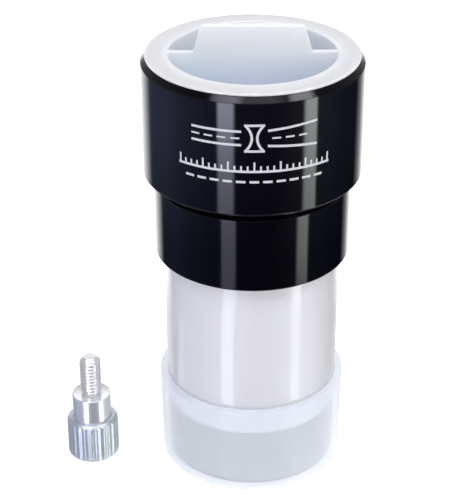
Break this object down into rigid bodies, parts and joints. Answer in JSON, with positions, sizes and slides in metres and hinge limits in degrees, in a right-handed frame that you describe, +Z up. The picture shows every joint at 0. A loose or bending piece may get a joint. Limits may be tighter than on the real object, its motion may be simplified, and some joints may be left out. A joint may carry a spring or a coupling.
{
  "type": "barlow lens",
  "caption": "Short Barlow lens for 1.25 inch eyepieces: black holder and tube, chrome nosepiece, removable lens cell, milky dust caps and a loose clamping screw.",
  "frame": {"origin": "on the barrel's axis, at the underside of the bottom cap that the object stands on", "axes": "+Z up along the barrel, towards the eyepiece; the loose clamping screw stands on the -X side; its tapped hole faces +Y"},
  "size_m": [0.0546, 0.0388, 0.0856],
  "materials": {
    "milky_plastic": "milky translucent soft polyethylene, semi-gloss",
    "chrome": "bright satin chrome plating",
    "black_anodised": "glossy black anodised",
    "matt_black": "matt black anodised",
    "brass": "turned brass",
    "coated_glass": "polished, multi-coated",
    "bare_aluminium": "turned and fluted, bright",
    "bare_steel": "cut thread, bright"
  },
  "bodies": {
    "bottom_cap": {"bottom_cap": "milky_plastic"},
    "barrel": {"nosepiece": "chrome", "body_tube": "black_anodised", "eyepiece_holder": "black_anodised", "glare_stop": "matt_black"},
    "lens_cell": {"lens_cell": "black_anodised", "crown_lens": "coated_glass", "lens_spacer": "matt_black", "flint_lens": "coated_glass", "lens_retainer": "matt_black"},
    "compression_ring": {"compression_ring": "brass"},
    "top_cap": {"top_cap": "milky_plastic"},
    "thumbscrew": {"thumbscrew_knob": "bare_aluminium", "thumbscrew_stud": "bare_steel"}
  },
  "joints": [
    {"name": "barrel_lift", "type": "slide", "parent": "bottom_cap", "child": "barrel", "axis": [0, 0, 1], "range_m": [0, 0.05]},
    {"name": "lens_cell_turn", "type": "hinge", "parent": "barrel", "child": "lens_cell", "pos_m": [0, 0, 0.008], "axis": [0, 0, -1], "range_deg": [0, 2700]},
    {"name": "ring_clamp", "type": "slide", "parent": "barrel", "child": "compression_ring", "axis": [0, -1, 0], "range_m": [0, 0.0003], "stiffness_N_per_m": 400},
    {"name": "top_cap_lift", "type": "slide", "parent": "barrel", "child": "top_cap", "axis": [0, 0, 1], "range_m": [0, 0.04]},
    {"name": "thumbscrew_lift", "type": "slide", "parent": "bottom_cap", "child": "thumbscrew", "axis": [0, 0, 1], "range_m": [0, 0.05]}
  ]
}
